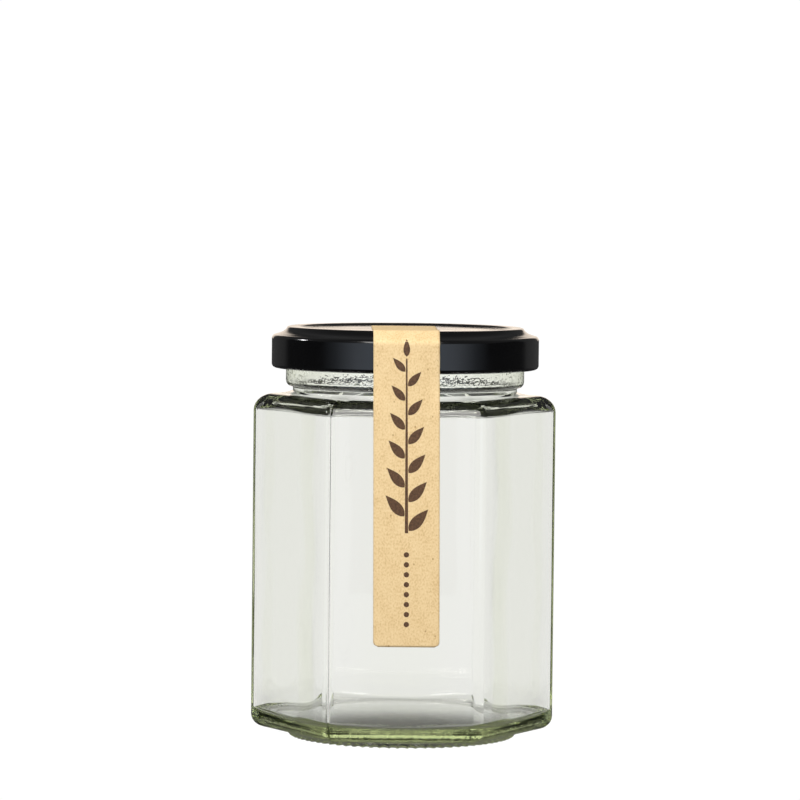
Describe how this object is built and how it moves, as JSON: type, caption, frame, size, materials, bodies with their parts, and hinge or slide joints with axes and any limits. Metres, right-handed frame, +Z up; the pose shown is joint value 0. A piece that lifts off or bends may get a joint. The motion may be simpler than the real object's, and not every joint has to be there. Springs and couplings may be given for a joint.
{
  "type": "hexagonal glass jar",
  "caption": "Empty hexagonal glass jar with round shoulders, neck and ring foot, shut by a glossy black twist-off lid and sealed with a brown paper strip down the front.",
  "frame": {"origin": "on the jar's axis, in the plane that the foot ring stands on", "axes": "+Z up along the axis, -Y out of the face that carries the paper strip, +X to that face's right, through a corner of the hexagon"},
  "size_m": [0.0748, 0.0666, 0.1017],
  "materials": {
    "clear_glass": "fire polished",
    "black_lacquer": "gloss",
    "brown_paper": "uncoated, printed"
  },
  "bodies": {
    "root": {"jar_glass": "clear_glass", "lid": "black_lacquer", "paper_strip": "brown_paper"}
  },
  "joints": []
}
